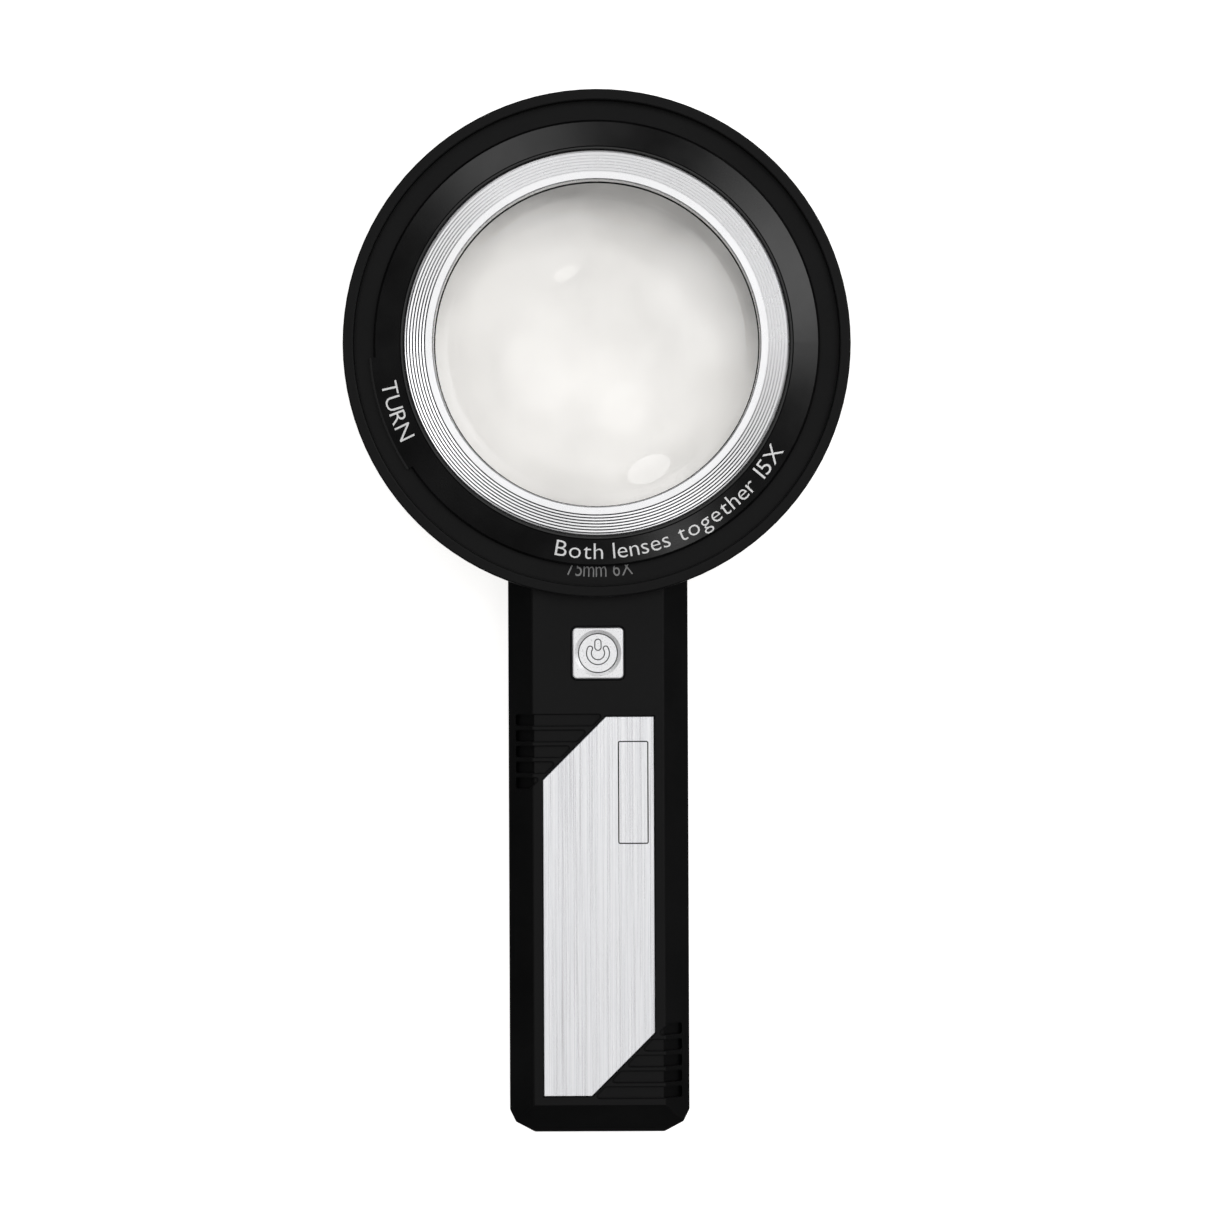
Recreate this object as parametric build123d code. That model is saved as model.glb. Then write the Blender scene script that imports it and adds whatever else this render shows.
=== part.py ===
from build123d import *
import math
import os

# Illuminated hand magnifier with a second, removable lens in a turning ring.
# Millimetres. +Y runs from the handle to the head, +Z out of the front face, and the back lies on z = 0.
# Every piece is drawn about the lens axis and moved to the row's frame when it is written.

# Head
HEAD_R = 52.05            # outer radius of the round head
RIM_R = 49.8              # inner radius of the raised rim
RIM_TOP = 25.0
ANNULUS_TOP = 22.6        # sunken ring-shaped floor between the rim and the lens ring
HEAD_WALL = 1.95
PLATE = 2.0               # thickness of the annulus floor
BORE_R = 44.3             # bore that the lens ring drops into
BORE_WALL = 1.7
SEAM = 9.0                # height of the joint between the two shells
BACK_ROUND = 2.5          # rounding of the back edges

# Handle
HANDLE_END = -162.6       # bottom end, from the lens axis
HANDLE_HALF = 18.55
FACE_HALF = 13.5          # half width of the flat front face
HANDLE_TOP = 20.5
BEVEL_FOOT = 15.5         # height where the side bevels begin
END_BEVEL_FOOT = 14.5
END_BEVEL = 6.1           # length of the bottom bevel
HANDLE_REACH = -40.0      # how far the handle runs into the head
SHELL = 2.0               # handle side walls
END_WALL = 2.2
BACK_WALL = 2.3
FRONT_WALL = 2.4

# Lens ring and its second lens
RING_R = 45.8
TAB_R = 46.76
TAB_FROM, TAB_TO = 183.5, 213.5      # degrees about the lens axis, from +X
SKIRT_R = 44.0
SKIRT_WALL = 2.0
RING_FOOT = 15.6
RING_LOW = 23.1           # underside of the overhang
RING_TOP = 26.0
LIP = 0.75                # width of the rounded lip inside the cone
CONE_SLOPE = 0.27
EDGE_BREAK = 0.45         # width of the chamfer round the ring's outer edge
RING_IN = 39.6
LENS2_R = 35.0
LENS2_CURVE = 110.0
LENS2_LOW = 17.2
LENS2_EDGE = 2.2
SHELF_R = 33.0
BEZEL_SEAT = 22.6
BEZEL_R = 39.45
BEZEL_IN = 33.5
BEZEL_BAND = 34.97        # the smooth band ends and the grooves begin
BEZEL_TOP = 25.9
BEZEL_DIP = 25.2          # height of the smooth band
GROOVES = 7
GROOVE_PITCH = 0.613
GROOVE_FIRST = 35.25
GROOVE_DEPTH = 0.42
GROOVE_HALF, GROOVE_FLOOR = 0.14, 0.08   # half widths at the top and at the floor
SEAL_MINOR = 0.62
SEAL_Z = 17.8
KEY_R = 45.2              # key on the skirt, in an open-topped notch
KEY_FROM, KEY_TO = 100.0, 108.0
RING_TURN = 20.0

# Main lens
LENS_R = 37.5
LENS_CURVE = 130.0
LENS_EDGE_LOW = 7.4
LENS_EDGE = 2.0
BARREL_IN = 37.6
BARREL_R = 39.2
BARREL_FLANGE = 46.0
BARREL_LOW, BARREL_TOP = 0.8, 14.2
SEAT_R = 36.0

# Lighting
DIFFUSER_IN, DIFFUSER_R = 39.4, 48.4
DIFFUSER_LOW, DIFFUSER_TOP = 0.95, 2.4
LEDGE_R = 47.4
LED_BOARD_IN, LED_BOARD_R = 40.0, 49.8
LED_BOARD_LOW = 4.6
LED_BOARD_T = 1.2
LED_RING_R = 44.0
LED_COUNT = 12
LED_SIZE = (3.5, 2.8, 1.7)

# Button and switch
BUTTON_Y = -63.55
BUTTON = 10.45
BUTTON_CORNER = 0.9
BUTTON_TOP = 21.2
BUTTON_GAP = 0.27
FLANGE = 12.6
FLANGE_LOW, FLANGE_TOP = 16.4, 17.6
BOARD_TOP = 10.6
BOARD_T = 1.6
BOARD_HALF = 9.0
BOARD_FROM, BOARD_TO = -88.0, -60.6
SWITCH = 6.0
SWITCH_TOP = 14.0
PLUNGER_R = 1.7
PLUNGER_LOW, PLUNGER_TOP = 13.3, 15.6
DISH_R, DISH_FLOOR_R, DISH_DEPTH = 4.8, 4.0, 0.35
SYMBOL_R, SYMBOL_LINE = 1.86, 1.0
OUTLINE, OUTLINE_DEPTH = 0.11, 0.4       # half width and depth of the engraved lines round the dish and the symbol

# Brushed plate and grip slots
TRIM_HALF = 11.45
TRIM_LOW, TRIM_HIGH = -154.7, -76.6
TRIM_CUT = 13.0           # 45 degree corner cuts
TRIM_T = 0.7
TRIM_SINK = 0.15
PAD_T = 0.15
PANEL = (4.01, -102.84, 10.30, -81.62)   # low x, low y, high x, high y of the sunken panel
PANEL_SINK, PANEL_LINE, PANEL_LINE_DEPTH = 0.18, 0.26, 0.5
SLOT_PITCH = 3.25
SLOT_COUNT = 5
SLOT_H = 2.32
SLOT_DEPTH = 0.8
SLOT_OUTER = 17.0
MOUTH_BREAK = 0.15        # 45 degree edge round the slots, the button's opening and the plate's pocket
SLOT_GAP = 0.85           # from the slots' inner ends to the plate's corner cut

# Battery bay
CELL_R = 7.15
CELL_LENGTH = 49.0
NUB_R, NUB_H = 2.7, 1.3
CELL_X = 7.4
CELL_Z = 9.85
BAY_LOW, BAY_HIGH = -156.4, -100.6
BOX_WALL = 1.0
BOX_HALF = 16.2
BOX_LOW, BOX_TOP = 2.4, 17.9
CONTACT_T = 0.5
COIL_R = 2.8
COIL_WIRE = 0.33
COIL_TURNS = 3

# Battery door
DOOR_HALF = 14.9
DOOR_T = 2.0
TONGUE = 1.0
TONGUE_LOW, TONGUE_TOP = 0.95, 1.85
DOOR_HIGH = -99.4
DOOR_GAP = 0.2

# Fasteners
SCREW_X = 12.6
SCREW_ROWS = (-59.2, -95.4)
WELL_R, WELL_WALL = 2.4, 0.9
WELL_TOP = 5.6
HEAD_R_SCREW, HEAD_H = 2.1, 1.6
SHANK_R = 1.0
POST_X = 7.7
POST_ROWS = (-62.6, -85.6)

HEAD_Y = -(HANDLE_END + HEAD_R) / 2      # lens axis in the row's frame


def sag(curve, radius):
    return curve - math.sqrt(curve**2 - radius**2)


def lathe(*points):
    """A solid of revolution about the lens axis from (radius, height) corners."""
    return revolve(Plane.XZ * make_face(Polyline(*points, close=True)), Axis.Z)


def ring(inner, outer, low, high):
    return lathe((inner, low), (outer, low), (outer, high), (inner, high))


def sector(start, end, radius, low, high):
    """A pie slice between two angles, for cutting rings."""
    reach = radius * 1.3
    middle = (start + end) / 2
    corners = [(0, 0)] + [
        (reach * math.cos(math.radians(a)), reach * math.sin(math.radians(a))) for a in (start, middle, end)
    ]
    return Pos(0, 0, low) * extrude(make_face(Polyline(*corners, close=True)), high - low)


def block(x0, y0, z0, x1, y1, z1):
    return Pos((x0 + x1) / 2, (y0 + y1) / 2, (z0 + z1) / 2) * Box(x1 - x0, y1 - y0, z1 - z0)


def post(x, y, z0, z1, radius):
    return Pos(x, y, (z0 + z1) / 2) * Cylinder(radius, z1 - z0)


def group(shapes):
    """Separate solids in one node."""
    return Compound([solid for shape in shapes for solid in shape.solids()])


def bars(face, low, high):
    return Pos(0, 0, low) * extrude(face, high - low, dir=(0, 0, 1))


def handle_solid(inset=0.0, end_inset=None, low=0.0, top=None):
    """The handle's envelope, with its walls moved in: cross section, side view and plan, intersected."""
    end_inset = inset if end_inset is None else end_inset
    top = HANDLE_TOP if top is None else top
    section = Polygon(
        (-HANDLE_HALF, 0), (HANDLE_HALF, 0), (HANDLE_HALF, BEVEL_FOOT),
        (FACE_HALF, HANDLE_TOP), (-FACE_HALF, HANDLE_TOP), (-HANDLE_HALF, BEVEL_FOOT), align=None,
    )
    side = Polygon(
        (HANDLE_END, 0), (HANDLE_REACH, 0), (HANDLE_REACH, HANDLE_TOP),
        (HANDLE_END + END_BEVEL, HANDLE_TOP), (HANDLE_END, END_BEVEL_FOOT), align=None,
    )
    plan = Polygon(
        (-HANDLE_HALF, HANDLE_REACH), (-HANDLE_HALF, HANDLE_END + 4.8), (-17.3, HANDLE_END + 2.4),
        (-13.3, HANDLE_END), (13.3, HANDLE_END), (17.3, HANDLE_END + 2.4),
        (HANDLE_HALF, HANDLE_END + 4.8), (HANDLE_HALF, HANDLE_REACH), align=None,
    )
    if inset:
        section = offset(section, -inset, kind=Kind.INTERSECTION)
        side = offset(side, -end_inset, kind=Kind.INTERSECTION)
        plan = offset(plan, -end_inset, kind=Kind.INTERSECTION)
    else:
        section = fillet(section.vertices().sort_by(Axis.Y)[:2], BACK_ROUND)
        section = fillet(section.vertices().sort_by(Axis.Y)[-4:], 0.5)
        side = fillet(side.vertices().sort_by(Axis.X)[:1] + side.vertices().sort_by(Axis.X)[1:2], 1.2)
        plan = fillet(plan.vertices().sort_by(Axis.Y)[:6], 0.8)
    body = extrude(Plane.XZ * section, 10 - HANDLE_END, both=True)
    body &= extrude(Plane.YZ * side, HANDLE_HALF + 5, both=True)
    body &= extrude(plan, HANDLE_TOP + 5, both=True)
    return body & block(-30, HANDLE_END - 5, low, 30, HANDLE_REACH + 5, top)


def head_solid():
    """The head's envelope: a drum with rounded back edge and a softened rim."""
    profile = Polyline(
        (0, 0), (HEAD_R, 0), (HEAD_R, RIM_TOP), (RIM_R, RIM_TOP), (RIM_R, ANNULUS_TOP), (0, ANNULUS_TOP), close=True
    )
    face = make_face(profile)
    outer = face.vertices().sort_by(Axis.X)[-2:]
    face = fillet(outer.sort_by(Axis.Y)[:1], BACK_ROUND)
    face = fillet(face.vertices().sort_by(Axis.Y)[-2:], 0.35)
    return revolve(Plane.XZ * face, Axis.Z)


def envelope():
    return head_solid() + handle_solid()


def cavity():
    """Everything that is hollow inside the two shells."""
    drum = ring(BARREL_R - 1, HEAD_R - HEAD_WALL, BACK_WALL, ANNULUS_TOP - PLATE)
    room = handle_solid(SHELL, END_WALL, BACK_WALL, HANDLE_TOP - FRONT_WALL)
    room &= block(-30, HANDLE_END, 0, 30, -(BORE_R + BORE_WALL + 0.6), 30)
    return drum + room


def trim_outline(gap=0.0):
    corners = Polygon(
        (TRIM_CUT - TRIM_HALF, TRIM_HIGH), (TRIM_HALF, TRIM_HIGH), (TRIM_HALF, TRIM_LOW + TRIM_CUT),
        (TRIM_HALF - TRIM_CUT, TRIM_LOW), (-TRIM_HALF, TRIM_LOW), (-TRIM_HALF, TRIM_HIGH - TRIM_CUT), align=None,
    )
    return offset(corners, gap, kind=Kind.INTERSECTION) if gap else corners


def slot_shapes():
    """Grip slots beside the plate's upper left cut, and the same turned half round at the lower right."""
    slots = []
    middle = (TRIM_LOW + TRIM_HIGH) / 2
    for n in range(SLOT_COUNT):
        y = TRIM_HIGH - 0.71 - n * SLOT_PITCH
        diagonal = TRIM_CUT - TRIM_HALF - (TRIM_HIGH - y)
        end = diagonal - SLOT_GAP
        h = SLOT_H / 2
        shape = Polygon((-SLOT_OUTER, y - h), (end - h, y - h), (end + h, y + h), (-SLOT_OUTER, y + h), align=None)
        shape = fillet(shape.vertices(), 0.45)
        slots.append(shape)
        slots.append(Pos(0, 2 * middle) * Rot(0, 0, 180) * shape)
    return slots


def bosses():
    """Screw bosses and board posts that hang from the front shell."""
    out = []
    for y in SCREW_ROWS:
        for x in (-SCREW_X, SCREW_X):
            out.append(post(x, y, SEAM, HANDLE_TOP - 1.6, 2.5) & handle_solid(1.0, 1.0))
    for y in POST_ROWS:
        for x in (-POST_X, POST_X):
            out.append(post(x, y, BOARD_TOP, HANDLE_TOP - 1.0, 1.25))
    return out


def broken_edge(outline):
    """Cuts a 45 degree edge round an opening in the handle's flat face."""
    wide = offset(outline, MOUTH_BREAK, kind=Kind.INTERSECTION)
    return Pos(0, 0, HANDLE_TOP) * extrude(wide, MOUTH_BREAK, dir=(0, 0, -1), taper=45)


def front_shell():
    shell = envelope() & block(-60, HANDLE_END - 5, SEAM, 60, 60, 40)
    shell -= ring(0, BORE_R, SEAM - 1, 40)
    shell -= cavity()
    shell += ring(BORE_R, BORE_R + BORE_WALL, BARREL_TOP, ANNULUS_TOP - PLATE / 2)
    notch = ring(BORE_R - 1, KEY_R + 0.3, 19.8, 40) & sector(KEY_FROM - 1, KEY_TO + RING_TURN + 1, HEAD_R, 0, 40)
    shell -= notch & ring(0, RING_R - 0.2, 0, 40)
    for piece in bosses():
        shell += piece
    for y in SCREW_ROWS:
        for x in (-SCREW_X, SCREW_X):
            shell -= post(x, y, SEAM - 1, 17.0, SHANK_R + 0.05)
    for y in POST_ROWS:
        for x in (-POST_X, POST_X):
            shell -= post(x, y, BOARD_TOP - 1, 15.5, 0.65)
    opening = RectangleRounded(BUTTON + 2 * BUTTON_GAP, BUTTON + 2 * BUTTON_GAP, BUTTON_CORNER + BUTTON_GAP)
    shell -= bars(Pos(0, BUTTON_Y) * opening, 15, 30)
    shell -= broken_edge(Pos(0, BUTTON_Y) * opening)
    skin = handle_solid(SLOT_DEPTH, SLOT_DEPTH)
    for shape in slot_shapes():
        shell -= bars(shape, 10, 30) - skin
        shell -= broken_edge(shape)
    shell -= bars(trim_outline(0.12), HANDLE_TOP - TRIM_SINK - TRIM_T - PAD_T, 30)
    shell -= broken_edge(trim_outline(0.12))
    return shell


def back_shell():
    shell = envelope() & block(-60, HANDLE_END - 5, 0, 60, 60, SEAM)
    shell -= cavity()
    shell += ring(DIFFUSER_R + 0.2, HEAD_R - HEAD_WALL / 2, 1.0, LED_BOARD_LOW) - block(-16, -60, 2.3, 16, -40, 10)
    shell -= ring(0, DIFFUSER_R + 0.2, DIFFUSER_LOW, SEAM + 1)
    shell -= ring(0, LEDGE_R, -1, 2)
    for y in SCREW_ROWS:
        for x in (-SCREW_X, SCREW_X):
            shell += post(x, y, 0.5, SEAM, WELL_R + WELL_WALL) & handle_solid(1.0, 1.0)
            shell -= post(x, y, -1, WELL_TOP, WELL_R)
            shell -= post(x, y, 0, SEAM + 1, SHANK_R + 0.25)
    gap = DOOR_HALF + 0.25
    shell -= block(-gap, HANDLE_END - 1, -1, gap, DOOR_HIGH + DOOR_GAP, DOOR_T + 0.2)
    groove = gap + TONGUE
    shell -= block(-groove, HANDLE_END - 1, TONGUE_LOW - 0.15, groove, DOOR_HIGH + DOOR_GAP, TONGUE_TOP + 0.15)
    shell -= block(-gap, BAY_LOW, 0, gap, BAY_HIGH, SEAM)
    # a shallow shadow groove just under the seam, all round the outside
    outline = Circle(HEAD_R) + Polygon(
        (-HANDLE_HALF, HANDLE_REACH), (-HANDLE_HALF, HANDLE_END + 4.8), (-17.3, HANDLE_END + 2.4),
        (-13.3, HANDLE_END), (13.3, HANDLE_END), (17.3, HANDLE_END + 2.4),
        (HANDLE_HALF, HANDLE_END + 4.8), (HANDLE_HALF, HANDLE_REACH), align=None,
    )
    inner = offset(outline, -0.3, kind=Kind.INTERSECTION)
    shell -= bars(offset(outline, 1.0, kind=Kind.INTERSECTION) - inner, SEAM - 0.3, SEAM + 1)
    return shell


def cone(radius):
    """Height of the lens ring's conical front."""
    return RING_TOP - 0.25 - (radius - RING_IN - LIP) * CONE_SLOPE


def lens_ring():
    """Black turning ring: conical front, overhang, skirt, lens shelf and thumb tab."""
    body = lathe(
        (SHELF_R, RING_FOOT), (36.8, RING_FOOT), (36.8, BEZEL_SEAT - 1.4), (SKIRT_R - SKIRT_WALL, BEZEL_SEAT - 1.4),
        (SKIRT_R - SKIRT_WALL, RING_FOOT), (SKIRT_R, RING_FOOT), (SKIRT_R, RING_LOW), (RING_R, RING_LOW),
        (RING_R, cone(RING_R) - 0.3), (RING_R - EDGE_BREAK, cone(RING_R - EDGE_BREAK)), (RING_IN + LIP, RING_TOP - 0.25),
        (RING_IN + 0.5, RING_TOP), (RING_IN + 0.15, RING_TOP), (RING_IN, RING_TOP - 0.15), (RING_IN, BEZEL_SEAT),
        (LENS2_R + 0.2, BEZEL_SEAT), (LENS2_R + 0.2, LENS2_LOW), (SHELF_R, LENS2_LOW),
    )
    tab = lathe(
        (SKIRT_R, RING_LOW), (TAB_R, RING_LOW), (TAB_R, cone(TAB_R) - 0.2),
        (TAB_R - EDGE_BREAK, cone(TAB_R - EDGE_BREAK)), (SKIRT_R, cone(SKIRT_R)),
    )
    body += tab & sector(TAB_FROM, TAB_TO, HEAD_R, 0, 40)
    body += ring(SKIRT_R - 0.5, KEY_R, 20.2, 22.4) & sector(KEY_FROM, KEY_TO, HEAD_R, 0, 40)
    groove = SKIRT_R - 2 * SEAL_MINOR + 0.09
    body -= ring(groove, SKIRT_R + 1, SEAL_Z - SEAL_MINOR - 0.15, SEAL_Z + SEAL_MINOR + 0.15)
    return body


def seal():
    return Pos(0, 0, SEAL_Z) * Torus(SKIRT_R + 0.2 - SEAL_MINOR, SEAL_MINOR)


def bezel():
    """Turned metal ring with fine concentric grooves, whose foot clamps the second lens."""
    rise = (BEZEL_TOP - BEZEL_DIP) / (BEZEL_R - BEZEL_BAND)

    def top(radius):
        return BEZEL_DIP + (radius - BEZEL_BAND) * rise

    def glass(radius):
        return LENS2_LOW + LENS2_EDGE + sag(LENS2_CURVE, LENS2_R) - sag(LENS2_CURVE, radius) + 0.05

    points = [(BEZEL_IN, glass(BEZEL_IN)), (LENS2_R, glass(LENS2_R) + 0.03), (LENS2_R, BEZEL_SEAT + 0.05)]
    points += [(BEZEL_R, BEZEL_SEAT + 0.05), (BEZEL_R, BEZEL_TOP - 0.2), (BEZEL_R - 0.2, BEZEL_TOP)]
    for n in reversed(range(GROOVES)):
        centre = GROOVE_FIRST + n * GROOVE_PITCH
        points += [
            (centre + GROOVE_HALF, top(centre + GROOVE_HALF)), (centre + GROOVE_FLOOR, top(centre) - GROOVE_DEPTH),
            (centre - GROOVE_FLOOR, top(centre) - GROOVE_DEPTH), (centre - GROOVE_HALF, top(centre - GROOVE_HALF)),
        ]
    points += [(BEZEL_IN + 0.25, BEZEL_DIP), (BEZEL_IN, BEZEL_DIP - 0.25)]
    return lathe(*points)


def lens(radius, low, edge, curve_low, curve_high):
    """A lens with a cylindrical edge; a curve of None is a flat side."""
    drop = sag(curve_low, radius) if curve_low else 0
    rise = sag(curve_high, radius) if curve_high else 0
    half = radius / 2
    lines = []
    if drop:
        middle = (half, low - drop + sag(curve_low, half))
        lines.append(ThreePointArc((0, low - drop), middle, (radius, low)))
    else:
        lines.append(Line((0, low), (radius, low)))
    lines.append(Line((radius, low), (radius, low + edge)))
    middle = (half, low + edge + rise - sag(curve_high, half))
    lines.append(ThreePointArc((radius, low + edge), middle, (0, low + edge + rise)))
    lines.append(Line((0, low + edge + rise), (0, low - drop)))
    return revolve(Plane.XZ * make_face(Wire(lines)), Axis.Z)


def lens_barrel():
    upper = LENS_EDGE_LOW + LENS_EDGE
    bulge = sag(LENS_CURVE, LENS_R) - sag(LENS_CURVE, SEAT_R)
    return lathe(
        (BARREL_IN, BARREL_LOW), (BARREL_R, BARREL_LOW), (BARREL_R, BARREL_TOP - 1.6),
        (BARREL_FLANGE, BARREL_TOP - 1.6), (BARREL_FLANGE, BARREL_TOP), (SEAT_R, BARREL_TOP),
        (SEAT_R, upper + bulge + 0.05), (BARREL_IN, upper + 0.05),
    )


def lens_retainer():
    bulge = sag(LENS_CURVE, LENS_R) - sag(LENS_CURVE, SEAT_R)
    return lathe(
        (SEAT_R, LENS_EDGE_LOW - 2.0), (LENS_R, LENS_EDGE_LOW - 2.0), (LENS_R, LENS_EDGE_LOW - 0.05),
        (SEAT_R, LENS_EDGE_LOW - bulge - 0.05),
    )


def leds():
    length, width, height = LED_SIZE
    dome = Pos(0, 0, -height) * Cylinder(1.15, 0.3, align=(Align.CENTER, Align.CENTER, Align.MAX))
    one = Pos(0, 0, -height / 2) * Box(length, width, height) + dome
    out = []
    for n in range(LED_COUNT):
        angle = 360 / LED_COUNT * (n + 0.5)
        out.append(Rot(0, 0, angle) * Pos(LED_RING_R, 0, LED_BOARD_LOW) * Rot(0, 0, 90) * one)
    return group(out)


def power_symbol(grow):
    """Broken ring and bar, all with round ends, centred on the button, with the outline moved out by grow."""
    ring_arc = SlotArc(CenterArc((0, 0), SYMBOL_R, 149, 242), SYMBOL_LINE + 2 * grow)
    bar = Pos(0, 1.72) * Rot(0, 0, 90) * SlotOverall(2.3 + 2 * grow, SYMBOL_LINE + 0.28 + 2 * grow)
    return ring_arc + bar


def power_button():
    cap = bars(RectangleRounded(BUTTON, BUTTON, BUTTON_CORNER), FLANGE_LOW, BUTTON_TOP)
    cap = fillet(cap.edges().group_by(Axis.Z)[-1], 0.3)
    cap += bars(RectangleRounded(FLANGE, FLANGE, 1.2), FLANGE_LOW, FLANGE_TOP)
    cap += post(0, 0, PLUNGER_TOP, FLANGE_LOW + 0.5, 2.2)
    floor = BUTTON_TOP - DISH_DEPTH
    cap -= lathe((0, floor), (DISH_FLOOR_R, floor), (DISH_R, BUTTON_TOP), (DISH_R, 30), (0, 30))
    cap -= ring(DISH_FLOOR_R - OUTLINE, DISH_FLOOR_R + OUTLINE, floor - OUTLINE_DEPTH, BUTTON_TOP)
    cap -= bars(power_symbol(OUTLINE) - power_symbol(-OUTLINE), floor - OUTLINE_DEPTH, BUTTON_TOP)
    return Pos(0, BUTTON_Y, 0) * cap


def switch_body():
    body = block(-SWITCH / 2, -SWITCH / 2, BOARD_TOP, SWITCH / 2, SWITCH / 2, SWITCH_TOP)
    body -= post(0, 0, PLUNGER_LOW - 1.0, SWITCH_TOP + 1, PLUNGER_R + 0.05)
    return Pos(0, BUTTON_Y, 0) * body


def switch_plunger():
    return Pos(0, BUTTON_Y, 0) * post(0, 0, PLUNGER_LOW, PLUNGER_TOP, PLUNGER_R)


def circuit_board():
    board = block(-BOARD_HALF, BOARD_FROM, BOARD_TOP - BOARD_T, BOARD_HALF, BOARD_TO, BOARD_TOP)
    for y in POST_ROWS:
        for x in (-POST_X, POST_X):
            board -= post(x, y, 0, 20, 0.8)
    return board


def board_screws():
    out = []
    for y in POST_ROWS:
        for x in (-POST_X, POST_X):
            low = BOARD_TOP - BOARD_T
            out.append(post(x, y, low - 1.0, low, 1.25) + post(x, y, low, 15.0, 0.6))
    return group(out)


def shell_screws():
    out = []
    for y in SCREW_ROWS:
        for x in (-SCREW_X, SCREW_X):
            screw = post(x, y, WELL_TOP - HEAD_H, WELL_TOP, HEAD_R_SCREW) + post(x, y, WELL_TOP, 16.0, SHANK_R)
            cross = Pos(x, y, WELL_TOP - HEAD_H) * (Box(2.4, 0.5, 1.4) + Box(0.5, 2.4, 1.4))
            out.append(screw - cross)
    return group(out)


def driver_parts():
    """Chip, and two small ceramic blocks, standing on the circuit board."""
    chip = block(-2.6, -82.4, BOARD_TOP, 2.6, -78.4, BOARD_TOP + 1.6)
    small = [block(x - 0.9, -76.2, BOARD_TOP, x + 0.9, -73.0, BOARD_TOP + 1.0) for x in (-3.0, 0.0, 3.0)]
    return group([chip] + small)


def inductor():
    core = ring(1.1, 2.9, BOARD_TOP, BOARD_TOP + 0.8) + ring(0, 1.6, BOARD_TOP, BOARD_TOP + 4)
    core += ring(0, 2.9, BOARD_TOP + 3.2, BOARD_TOP + 4)
    core += ring(1.2, 2.5, BOARD_TOP + 0.7, BOARD_TOP + 3.3)
    return Pos(-5.6, -80.4, 0) * core


def capacitor():
    can = post(0, 0, BOARD_TOP, BOARD_TOP + 6.0, 2.5)
    can = fillet(can.edges().group_by(Axis.Z)[-1], 0.4)
    return Pos(5.7, -80.4, 0) * can


def trim_plate():
    low = HANDLE_TOP - TRIM_SINK - TRIM_T
    plate = bars(trim_outline(), low, low + TRIM_T)
    plate = chamfer(plate.edges().group_by(Axis.Z)[-1], 0.12)
    x0, y0, x1, y1 = PANEL
    panel = Pos((x0 + x1) / 2, (y0 + y1) / 2) * RectangleRounded(x1 - x0, y1 - y0, 0.45)
    line = panel - offset(panel, -PANEL_LINE, kind=Kind.INTERSECTION)
    top = low + TRIM_T
    return plate - bars(panel, top - PANEL_SINK, top + 1) - bars(line, top - PANEL_LINE_DEPTH, top + 1)


def trim_pad():
    low = HANDLE_TOP - TRIM_SINK - TRIM_T - PAD_T
    return bars(trim_outline(-0.4), low, low + PAD_T)


def battery_box():
    """Moulded cradle, open towards the door, that keeps the cells off the electronics."""
    low, high = BAY_LOW - BOX_WALL, BAY_HIGH + BOX_WALL
    outer = handle_solid(SHELL + 0.2, END_WALL + 0.2) & block(-BOX_HALF, low, BOX_LOW, BOX_HALF, high, BOX_TOP)
    inner = handle_solid(SHELL + 0.2 + BOX_WALL, END_WALL + 0.2 + BOX_WALL)
    inner &= block(-BOX_HALF + BOX_WALL, BAY_LOW, 2.0, BOX_HALF - BOX_WALL, BAY_HIGH, BOX_TOP - 0.7)
    floor = block(-BOX_HALF + BOX_WALL, BAY_LOW, 0, BOX_HALF - BOX_WALL, BAY_HIGH, 6)
    box = outer - inner - floor
    for x in (-CELL_X, CELL_X):
        box -= block(x - 1.6, BAY_HIGH - 1, 9.0, x + 1.6, high + 1, 12.0)
    return box


def cells():
    cell = fillet(Cylinder(CELL_R, CELL_LENGTH).edges(), 0.4)
    cell += Pos(0, 0, CELL_LENGTH / 2 + NUB_H / 2 - 0.2) * Cylinder(NUB_R, NUB_H + 0.4)
    spring = BAY_HIGH - BAY_LOW - 2 * CONTACT_T - CELL_LENGTH - NUB_H
    up = BAY_LOW + CONTACT_T + spring + CELL_LENGTH / 2
    down = BAY_HIGH - CONTACT_T - spring - CELL_LENGTH / 2
    one = Pos(CELL_X, up, CELL_Z) * Rot(-90, 0, 0) * cell
    two = Pos(-CELL_X, down, CELL_Z) * Rot(90, 0, 0) * cell
    return group([one, two])


def coil(height):
    """A round-wire compression spring along +Z, from 0 to height."""
    run = height - 2 * COIL_WIRE - 0.04
    path = Helix(run / COIL_TURNS, run, COIL_R)
    wire = sweep(Plane(path @ 0, z_dir=path % 0) * Circle(COIL_WIRE), path, is_frenet=True)
    return Pos(0, 0, COIL_WIRE + 0.02) * wire


def battery_springs():
    height = BAY_HIGH - BAY_LOW - 2 * CONTACT_T - CELL_LENGTH - NUB_H
    low = Pos(CELL_X, BAY_LOW + CONTACT_T, CELL_Z) * Rot(-90, 0, 0) * coil(height)
    high = Pos(-CELL_X, BAY_HIGH - CONTACT_T, CELL_Z) * Rot(90, 0, 0) * coil(height)
    return group([low, high])


def contact_plates():
    """The two separate contacts at the bay's upper end, with tabs that pass through the cradle."""
    out = []
    for x in (-CELL_X, CELL_X):
        plate = block(x - 4.5, BAY_HIGH - CONTACT_T, 5.5, x + 4.5, BAY_HIGH, 14.5)
        plate += block(x - 1.2, BAY_HIGH - 0.1, 9.6, x + 1.2, BAY_HIGH + BOX_WALL + 1.4, 10.1)
        out.append(plate)
    return group(out)


def contact_bridge():
    return block(-12.2, BAY_LOW, 5.5, 12.2, BAY_LOW + CONTACT_T, 14.5)


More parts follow.
